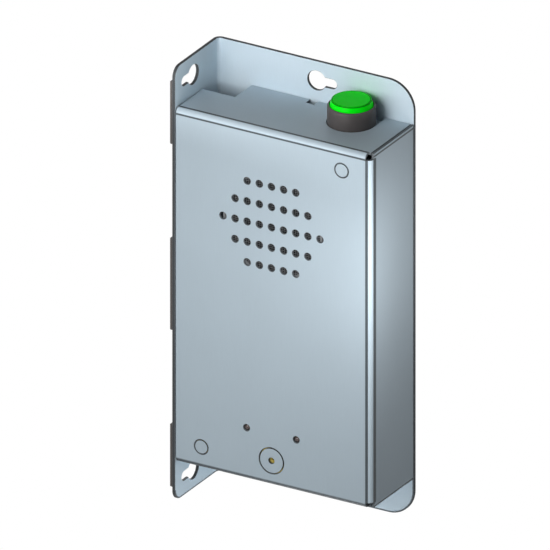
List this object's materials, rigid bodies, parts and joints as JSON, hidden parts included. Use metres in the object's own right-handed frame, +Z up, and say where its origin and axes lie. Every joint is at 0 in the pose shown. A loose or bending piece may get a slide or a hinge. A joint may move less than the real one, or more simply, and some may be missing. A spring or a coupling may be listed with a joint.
{
  "type": "elevator emergency intercom",
  "caption": "Upright sheet-steel intercom on a folded bracket with keyhole ears, a perforated speaker grille, indicator lamps, a microphone insert and a green push button on its top.",
  "frame": {"origin": "on the wall plane (rear face of the back plate), at mid width and mid height of the bracket", "axes": "+Z up, +Y into the wall so that the front faces -Y, +X to the right seen from the front"},
  "size_m": [0.1013, 0.039, 0.208],
  "materials": {
    "sheet_steel": "satin zinc-coated sheet with a bluish cast",
    "cover_steel": "fine satin sheet, a little brighter than the bracket",
    "screw_steel": "zinc-plated screw steel",
    "zinc_hardware": "bright zinc plating",
    "yellow_zinc": "yellow passivated zinc on turned steel",
    "pad_rubber": "matt black rubber strip",
    "gauze": "fine woven dark gauze",
    "foam": "closed-cell foam and rubber seals",
    "basket_steel": "pressed and zinc-coated basket",
    "cone_paper": "dark pressed paper",
    "copper": "enamelled copper and copper alloy",
    "ferrite": "ground ferrite",
    "bezel_plastic": "dark brown-black moulded plastic",
    "green_lens": "translucent green moulding",
    "white_plastic": "milky light-spreading plastic",
    "dark_plastic": "black insulating plastic",
    "brass": "turned brass",
    "lamp_lens": "clear lamp body, greyish pink when off",
    "board": "green solder resist on glass fibre",
    "terminal_green": "green moulded terminal housing",
    "tape_yellow": "yellow winding tape",
    "relay_blue": "blue moulded cover",
    "can_sleeve": "dark blue shrink sleeve",
    "aluminium": "extruded aluminium",
    "switch_red": "red moulded switch body",
    "header_white": "natural nylon housing"
  },
  "bodies": {
    "housing": {"mounting_bracket": "sheet_steel", "front_cover": "cover_steel", "cover_screws": "screw_steel", "cover_pillar": "yellow_zinc", "cover_nut": "yellow_zinc", "side_pads": "pad_rubber", "speaker_gauze": "gauze", "speaker_gasket": "foam", "speaker_frame": "basket_steel", "speaker_cone": "cone_paper", "speaker_dust_cap": "cone_paper", "speaker_voice_coil": "copper", "speaker_top_plate": "basket_steel", "speaker_magnet": "ferrite", "speaker_yoke": "basket_steel", "speaker_terminals": "brass", "speaker_studs": "yellow_zinc", "speaker_clamps": "zinc_hardware", "speaker_nuts": "zinc_hardware", "button_bracket": "sheet_steel", "button_rivets": "zinc_hardware", "button_gasket": "foam", "button_bezel": "bezel_plastic", "button_barrel": "bezel_plastic", "button_washer": "zinc_hardware", "button_locknut": "zinc_hardware", "button_spring": "zinc_hardware", "button_base": "dark_plastic", "button_lamp": "white_plastic", "button_terminals": "brass", "microphone_disc": "cover_steel", "microphone_bush": "brass", "microphone_boot": "foam", "microphone_capsule": "aluminium", "lamp_left": "lamp_lens", "lamp_right": "lamp_lens", "lamp_board": "board", "lamp_board_spacers": "zinc_hardware", "lamp_board_screws": "zinc_hardware", "main_board": "board", "board_standoffs": "zinc_hardware", "board_screws": "zinc_hardware", "terminal_block": "terminal_green", "terminal_screws": "zinc_hardware", "line_transformer_core": "basket_steel", "line_transformer_coil": "tape_yellow", "relays": "relay_blue", "capacitors": "can_sleeve", "amplifier": "dark_plastic", "heat_sink": "aluminium", "controller": "dark_plastic", "address_switch": "switch_red", "volume_trimmers": "relay_blue", "board_headers": "header_white"},
    "button": {"button_lens": "green_lens", "button_diffuser": "white_plastic", "button_plunger": "white_plastic", "button_contact_ring": "copper"}
  },
  "joints": [
    {"name": "button_press", "type": "slide", "parent": "housing", "child": "button", "axis": [0, 0, -1], "range_m": [0, 0.002], "stiffness_N_per_m": 800, "springref_m": -0.0012, "deforming": ["button_spring"]}
  ]
}
